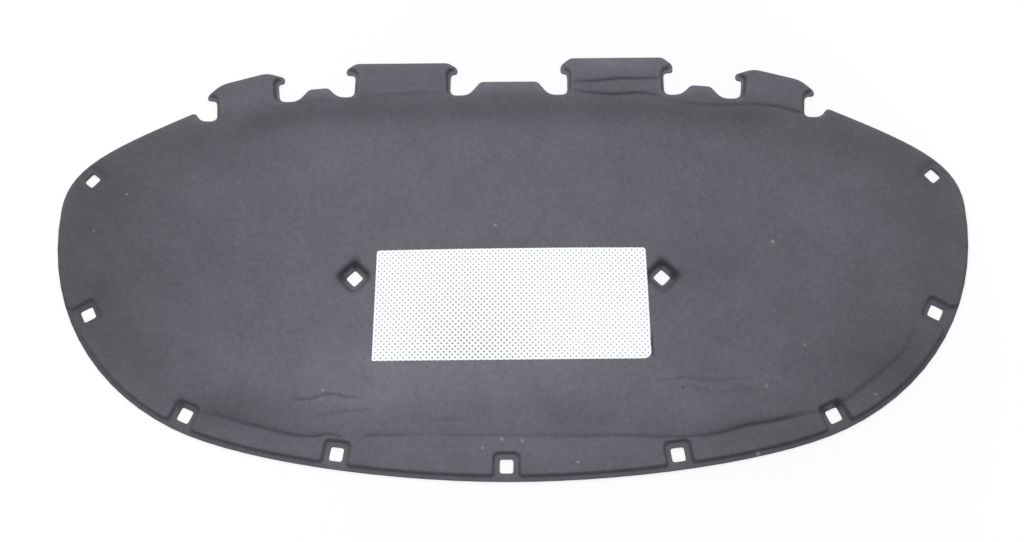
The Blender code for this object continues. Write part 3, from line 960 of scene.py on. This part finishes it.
# %% [markdown]
# ## From points to one closed mesh
# The cut edge is a stack of rings, one for each height, so that it has a small round above and
# below. The top and the back are then filled with triangles between the rings and the points. The
# filling also spans the holes and the hollows of the outline, so we keep only what a walk from an
# inner triangle can reach without crossing a cut loop. A test of each triangle's middle would be
# shorter, but it keeps slivers along the cuts, and then the mesh isn't closed.

# %% Fill the plan with triangles
WHOLE_HULL = 0  # the kind of result: triangles out to the hull of all points


def within_loops(faces, loop_edges):
    """The triangles that can be reached from an inner one without crossing a cut loop."""
    cuts = {frozenset(edge) for edge in loop_edges}
    sides_of = [[frozenset(side) for side in zip(face, face[1:] + face[:1])] for face in faces]
    beside = {}
    for face, sides in enumerate(sides_of):
        for side in sides:
            beside.setdefault(side, []).append(face)
    waiting = [max(range(len(faces)), key=lambda face: min(faces[face]))]
    reached = set(waiting)
    while waiting:
        for side in sides_of[waiting.pop()]:
            fresh = [] if side in cuts else [face for face in beside[side] if face not in reached]
            reached.update(fresh)
            waiting += fresh
    return np.array([faces[face] for face in sorted(reached)])


def triangles_between(loops, points):
    """Fills the plan between the loops with triangles. The loops' points come first."""
    plan = np.vstack([*loops, points])
    edges, start = [], 0
    for loop in loops:
        here = np.arange(len(loop)) + start
        edges += np.c_[here, np.roll(here, -1)].tolist()
        start += len(loop)
    result = geometry.delaunay_2d_cdt([Vector(p) for p in plan], edges, [], WHOLE_HULL, SAME_PLACE)
    index = [origin[0] for origin in result[3]]
    faces = within_loops([[index[corner] for corner in face] for face in result[2]], edges)
    ends = plan[faces]
    turn = np.cross(ends[:, 1] - ends[:, 0], ends[:, 2] - ends[:, 0])
    faces[turn < 0] = faces[turn < 0][:, ::-1]
    return plan, faces


tile = np.array([(0.0, 0.0), (4.0, 0.0), (4.0, 4.0), (0.0, 4.0)])
print("a tile with a point in it takes", len(triangles_between([tile], tile.mean(0)[None])[1]), "triangles")

# %% Cut edge, top and back
EDGE_RINGS = (  # how far each ring lies in from the cut, and its height: below the top, or above the back
    (0.5, 0.0),  # bounds the top, which has heights of its own
    (0.12, -0.6),
    (0.0, 1.5),
    (0.0, 0.7),
    (0.12, 0.25),
    (0.5, 0.0),  # bounds the back
)
BACK_SPACING = 15.0
MARKS = (("shade_and_spot", 0.0), ("tone", 1.0), ("lint", 0.0))  # name, and value on the edge and the back


def build_felt():
    """One closed mesh of the felt, with the marks of each point."""
    cut = [(rim, 1)] + [(hole, -1) for hole in holes]  # the felt lies left of the rim, right of a hole
    rings = [[line.shifted(inset * inward) for line, inward in cut] for inset, _ in EDGE_RINGS]
    top_plan, top_faces = triangles_between(rings[0], inner_points)
    back_points = grid_points(BACK_SPACING)
    back_points = back_points[on_the_felt(back_points, BACK_SPACING / 3)]
    back_plan, back_faces = triangles_between(rings[-1], back_points)
    top_height, *top_marks = relief(top_plan)
    on_edge = sum(len(loop) for loop in rings[0])
    edge_height = top_height[:on_edge]
    points = [np.c_[top_plan, top_height]]
    for (inset, height), loops in list(zip(EDGE_RINGS, rings))[1:-1]:
        z = edge_height + height if height < 0 else np.full(on_edge, height)
        points.append(np.c_[np.vstack(loops), z])
    points.append(np.c_[back_plan, np.zeros(len(back_plan))])
    below = sum(len(part) for part in points[1:])
    marks = {name: np.r_[values, np.full(below, plain)] for (name, plain), values in zip(MARKS, top_marks)}
    starts = np.cumsum([0] + [len(part) for part in points])
    faces = [top_faces, back_faces[:, ::-1] + starts[-2]]
    quads = []
    for upper, lower in zip(starts[:-2], starts[1:-1]):
        start = 0
        for (line, inward), loop in zip(cut, rings[0]):
            here = np.arange(len(loop)) + start
            ahead = np.roll(here, -1)
            quad = np.c_[upper + here, lower + here, lower + ahead, upper + ahead]
            quads.append(quad if inward > 0 else quad[:, ::-1])
            start += len(loop)
    return np.vstack(points), marks, [*np.vstack(faces).tolist(), *np.vstack(quads).tolist()]


felt_points, felt_marks, felt_faces = build_felt()
print(len(felt_points), "points and", len(felt_faces), "faces in the felt")


# %% Make the felt object
def to_frame(points):
    """Plan millimetres as places in the frame."""
    return (points - (0, PAD_DEPTH / 2, 0)) * MM


def mesh_piece(name, points, faces):
    """A new object, with its mesh made from points in plan millimetres and faces."""
    mesh = bpy.data.meshes.new(name)
    mesh.from_pydata(to_frame(points).tolist(), [], faces)
    mesh.validate()
    piece = bpy.data.objects.new(name, mesh)
    bpy.context.scene.collection.objects.link(piece)
    mesh.shade_smooth()
    return piece


felt = mesh_piece("felt_pad", felt_points, felt_faces)
for name, values in felt_marks.items():
    felt.data.attributes.new(name, "FLOAT", "POINT").data.foreach_set("value", values.astype(np.float32))
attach(felt, "root")
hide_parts("insulation_pad")
print("felt is", [round(side / MM, 1) for side in felt.dimensions], "mm")

# %% [markdown]
# ## Felt material
# The face of the pad is a thin dark fleece of polyester fibres that lie every way, bonded on
# recycled textile felt. To the eye it is a dull blue-grey with soft cloudy patches, a fine nap and
# no shine. The real fibres are 0.02 mm thick, far too fine to show, so they are drawn as tufts of
# one to three millimetres, stretched a little along the way that the web was carded.

# %% Felt: needled polyester fleece, hot pressed
FELT_LIGHT = "737179"
FELT_DARK = "615F66"
# Colour of the painted shade, and of the one dark spot.
SHADE_AND_SPOT_COLOUR = "2B2930"
LINT_COLOUR = "A0958F"
TUFT = 1.8 * MM
CLUMP = 7 * MM
CLOUD = 60 * MM
CARDED = (1.0, 0.55, 1.0)  # less than 1 stretches the tufts that way
TUFT_SHARE = 0.45
CLUMP_SHARE = 0.3
CLOUD_SHARE = 0.25


def noise_node(tree, coordinates, size, detail, roughness=0.55):
    """A noise whose blobs are about so many metres across."""
    return add_node(tree, "ShaderNodeTexNoise", [("Vector", coordinates), ("Scale", 1 / size),
                                                 ("Detail", detail), ("Roughness", roughness)])


fleece, tree, shader = new_material("hot_pressed_polyester_fleece")
place = add_node(tree, "ShaderNodeTexCoord")
carded = add_node(tree, "ShaderNodeMapping", [("Vector", place.outputs["Object"]),
                                              ("Scale", CARDED)])
tuft = noise_node(tree, carded.outputs[0], TUFT, 3)
clump = noise_node(tree, place.outputs["Object"], CLUMP, 4)
cloud = noise_node(tree, place.outputs["Object"], CLOUD, 3)
mixed = add_node(tree, "ShaderNodeMath", [(0, tuft.outputs[0]), (1, TUFT_SHARE)], operation="MULTIPLY")
mixed = add_node(tree, "ShaderNodeMath", [(0, clump.outputs[0]), (1, CLUMP_SHARE), (2, mixed.outputs[0])],
                 operation="MULTIPLY_ADD")
mixed = add_node(tree, "ShaderNodeMath", [(0, cloud.outputs[0]), (1, CLOUD_SHARE), (2, mixed.outputs[0])],
                 operation="MULTIPLY_ADD")
spread = add_node(tree, "ShaderNodeMapRange", [("Value", mixed.outputs[0]), ("From Min", 0.36),
                                               ("From Max", 0.64)])
tone = add_node(tree, "ShaderNodeMix", [(0, spread.outputs[0]), (6, linear(FELT_DARK)),
                                        (7, linear(FELT_LIGHT))], data_type="RGBA")
# The tone attribute holds cloudy patches with painted light and painted shade among them.
lit_tone = add_node(tree, "ShaderNodeAttribute", attribute_name="tone")
clouded_and_lit = add_node(tree, "ShaderNodeVectorMath", [(0, tone.outputs[2]), ("Scale", lit_tone.outputs["Fac"])],
                   operation="SCALE")
# Painted shade on the walls, in the creases, in the pocket corners and under the foil darkens the colour
# here, and so does one real dark spot.
marks = add_node(tree, "ShaderNodeAttribute", attribute_name="shade_and_spot")
painted_shade_mix = add_node(tree, "ShaderNodeMix", [(0, marks.outputs["Fac"]), (6, clouded_and_lit.outputs[0]),
                                             (7, linear(SHADE_AND_SPOT_COLOUR))], data_type="RGBA")
fluff = add_node(tree, "ShaderNodeAttribute", attribute_name="lint")
colour = add_node(tree, "ShaderNodeMix", [(0, fluff.outputs["Fac"]), (6, painted_shade_mix.outputs[2]),
                                          (7, linear(LINT_COLOUR))], data_type="RGBA")
bump = add_node(tree, "ShaderNodeBump", [("Height", mixed.outputs[0]), ("Strength", 0.35),
                                         ("Distance", 0.6 * MM)])
tree.links.new(colour.outputs[2], shader.inputs["Base Color"])
tree.links.new(bump.outputs[0], shader.inputs["Normal"])
shader.inputs["Roughness"].default_value = 0.95
shader.inputs["Specular IOR Level"].default_value = 0.25
shader.inputs["Sheen Weight"].default_value = 0.12
shader.inputs["Sheen Roughness"].default_value = 0.6
felt.data.materials.append(fleece)
print("felt material has", len(tree.nodes), "nodes")

# %% [markdown]
# ## Perforated foil
# The heat shield is aluminium foil, needled with staggered rows of fine holes so that the felt can
# breathe, and bonded on the field. Holes this small could be painted on, but real ones let the felt
# show through and catch light at their edges. The quick way to 2,000 holes is a grid with one
# vertex for each: bevelling a vertex opens a round face there, and deleting that face leaves the
# hole. On the border the same step leaves half holes, and these are the fine teeth of the cut edge.
# The needles didn't go equally deep, so each hole is then scaled about its own middle: the largest
# are at the front, left of the middle.

# %% Grid with a hole at every other point
FOIL_WIDTH = 362 * MM
FOIL_DEPTH = 153 * MM
FOIL_HEIGHT = 12.45
FOIL_PLACE = Vector((FOIL_MIDDLE[0], FOIL_MIDDLE[1] - PAD_DEPTH / 2, FOIL_HEIGHT)) * MM
FOIL_TURN = radians(0.5)
PITCH = 3.73 * MM
PERFORATION = 2.1 * MM
FOIL_THICK = 0.12 * MM
HOLE_PROFILE = 0.086  # bulges the sides of each hole outwards until it is round

columns, rows = round(FOIL_WIDTH / PITCH), round(FOIL_DEPTH / PITCH)
nothing_selected()
bpy.ops.mesh.primitive_grid_add(x_subdivisions=columns, y_subdivisions=rows, size=1)
foil = bpy.context.object
foil.name = "perforated_foil"
foil.scale = (FOIL_WIDTH, FOIL_DEPTH, 1)
bpy.ops.object.transform_apply(location=False, rotation=False, scale=True)


def select_in_foil(kind, test):
    """Selects the foil's vertices or faces that pass a test, in edit mode."""
    bpy.ops.object.mode_set(mode="EDIT")
    bpy.ops.mesh.select_mode(type=kind)
    bpy.ops.mesh.select_all(action="DESELECT")
    bpy.ops.object.mode_set(mode="OBJECT")
    items = foil.data.vertices if kind == "VERT" else foil.data.polygons
    chosen = [item.index for item in items if test(item)]
    for index in chosen:
        items[index].select = True
    bpy.ops.object.mode_set(mode="EDIT")
    return len(chosen)


def lattice(point):
    """Column and row of a place on the foil, as fractions."""
    return (point.x / FOIL_WIDTH + 0.5) * columns, (point.y / FOIL_DEPTH + 0.5) * rows


def has_hole(vertex):
    """Every other point of the grid gets a hole."""
    column, row = lattice(vertex.co)
    return (round(column) + round(row)) % 2 == 0


holes_opened = select_in_foil("VERT", has_hole)
bpy.ops.mesh.bevel(offset=PERFORATION / 2, offset_type="OFFSET", segments=2, profile=HOLE_PROFILE,
                   affect="VERTICES", clamp_overlap=True)
bpy.ops.object.mode_set(mode="OBJECT")
print(columns, "x", rows, "cells,", holes_opened, "holes,", len(foil.data.polygons), "faces")


# %% Delete the hole faces
NEAR_POINT = 0.2  # in cells: the face in a hole has its middle this near a point of the grid


def is_hole_face(face):
    """Whether a face is the round one that the bevel left in a hole."""
    column, row = lattice(face.center)
    near = abs(column - round(column)) < NEAR_POINT and abs(row - round(row)) < NEAR_POINT
    return near and (round(column) + round(row)) % 2 == 0


deleted = select_in_foil("FACE", is_hole_face)
bpy.ops.mesh.delete(type="FACE")
bpy.ops.object.mode_set(mode="OBJECT")
print(deleted, "hole faces deleted,", len(foil.data.polygons), "left")

# %% Thickness, rounded corners and place
FOIL_CORNERS = ((-1, 1, 3 * MM), (1, 1, 4 * MM), (1, -1, 10 * MM), (-1, -1, 1.5 * MM))
FOIL_BOW = 1.2 * MM
LIFT = 0.75 * MM
LIFT_PLACE = Vector((181, -54)) * MM
LIFT_REACH = Vector((9, 13)) * MM
PULLED_IN = 0.55 * MM
SHALLOW_HOLE = 0.82
DEEP_HOLE_GAIN = 0.33
DEEPEST_X = -54 * MM
DEEP_REACH = 90 * MM


def needled(point):
    """Sizes the hole round a point: the needles went deepest at the front, left of the middle."""
    column, row = (round(value) for value in lattice(point))
    if (column + row) % 2 == 0:
        middle = Vector(((column / columns - 0.5) * FOIL_WIDTH, (row / rows - 0.5) * FOIL_DEPTH))
        front = 0.5 - middle.y / FOIL_DEPTH
        deep = front * exp(-(((middle.x - DEEPEST_X) / DEEP_REACH) ** 2))
        point.x, point.y = middle + (point.xy - middle) * (SHALLOW_HOLE + DEEP_HOLE_GAIN * deep)


def settle(point):
    """Rounds the corners of the foil, bows its rear edge, and lifts and pulls it in where it came loose."""
    for side_x, side_y, radius in FOIL_CORNERS:
        across = (side_x * point.x - FOIL_WIDTH / 2) / radius + 1
        along = (side_y * point.y - FOIL_DEPTH / 2) / radius + 1
        if across > 0 and along > 0:
            point.x += side_x * radius * across * (sqrt(1 - along**2 / 2) - 1)
            point.y += side_y * radius * along * (sqrt(1 - across**2 / 2) - 1)
    point.y += FOIL_BOW * (1 - (2 * point.x / FOIL_WIDTH) ** 2) * (point.y / FOIL_DEPTH + 0.5)
    away = ((point.x - LIFT_PLACE.x) / LIFT_REACH.x) ** 2 + ((point.y - LIFT_PLACE.y) / LIFT_REACH.y) ** 2
    point.x -= PULLED_IN * exp(-away)
    point.z += LIFT * exp(-away)


solidify = foil.modifiers.new("thickness", "SOLIDIFY")
solidify.thickness = FOIL_THICK
solidify.offset = 0
nothing_selected()
foil.select_set(True)
bpy.context.view_layer.objects.active = foil
bpy.ops.object.modifier_apply(modifier="thickness")
for vertex in foil.data.vertices:
    needled(vertex.co)
    settle(vertex.co)
foil.rotation_euler = (0, 0, FOIL_TURN)
foil.location = FOIL_PLACE
bpy.ops.object.transform_apply(location=True, rotation=True, scale=True)
in_plan = np.array([vertex.co.xy for vertex in foil.data.vertices]) / MM + (0, PAD_DEPTH / 2)
for vertex, wave in zip(foil.data.vertices, swell(in_plan)):
    vertex.co.z += wave * MM
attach(foil, "root")
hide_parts("foil_heat_shield")
print("foil has", sum(len(face.vertices) - 2 for face in foil.data.polygons), "triangles")

# %% Foil: soft aluminium, matt rolled side
FOIL_COLOUR = "F4F5F7"
CRINKLE = 9 * MM

sheet, tree, shader = new_material("matt_rolled_aluminium_foil")
shader.inputs["Base Color"].default_value = linear(FOIL_COLOUR)
shader.inputs["Metallic"].default_value = 1.0
shader.inputs["Roughness"].default_value = 0.42
place = add_node(tree, "ShaderNodeTexCoord")
crinkle = noise_node(tree, place.outputs["Object"], CRINKLE, 3)
bump = add_node(tree, "ShaderNodeBump", [("Height", crinkle.outputs[0]), ("Strength", 0.25),
                                         ("Distance", 0.5 * MM)])
tree.links.new(bump.outputs[0], shader.inputs["Normal"])
foil.data.materials.append(sheet)
print("foil material has", len(tree.nodes), "nodes")
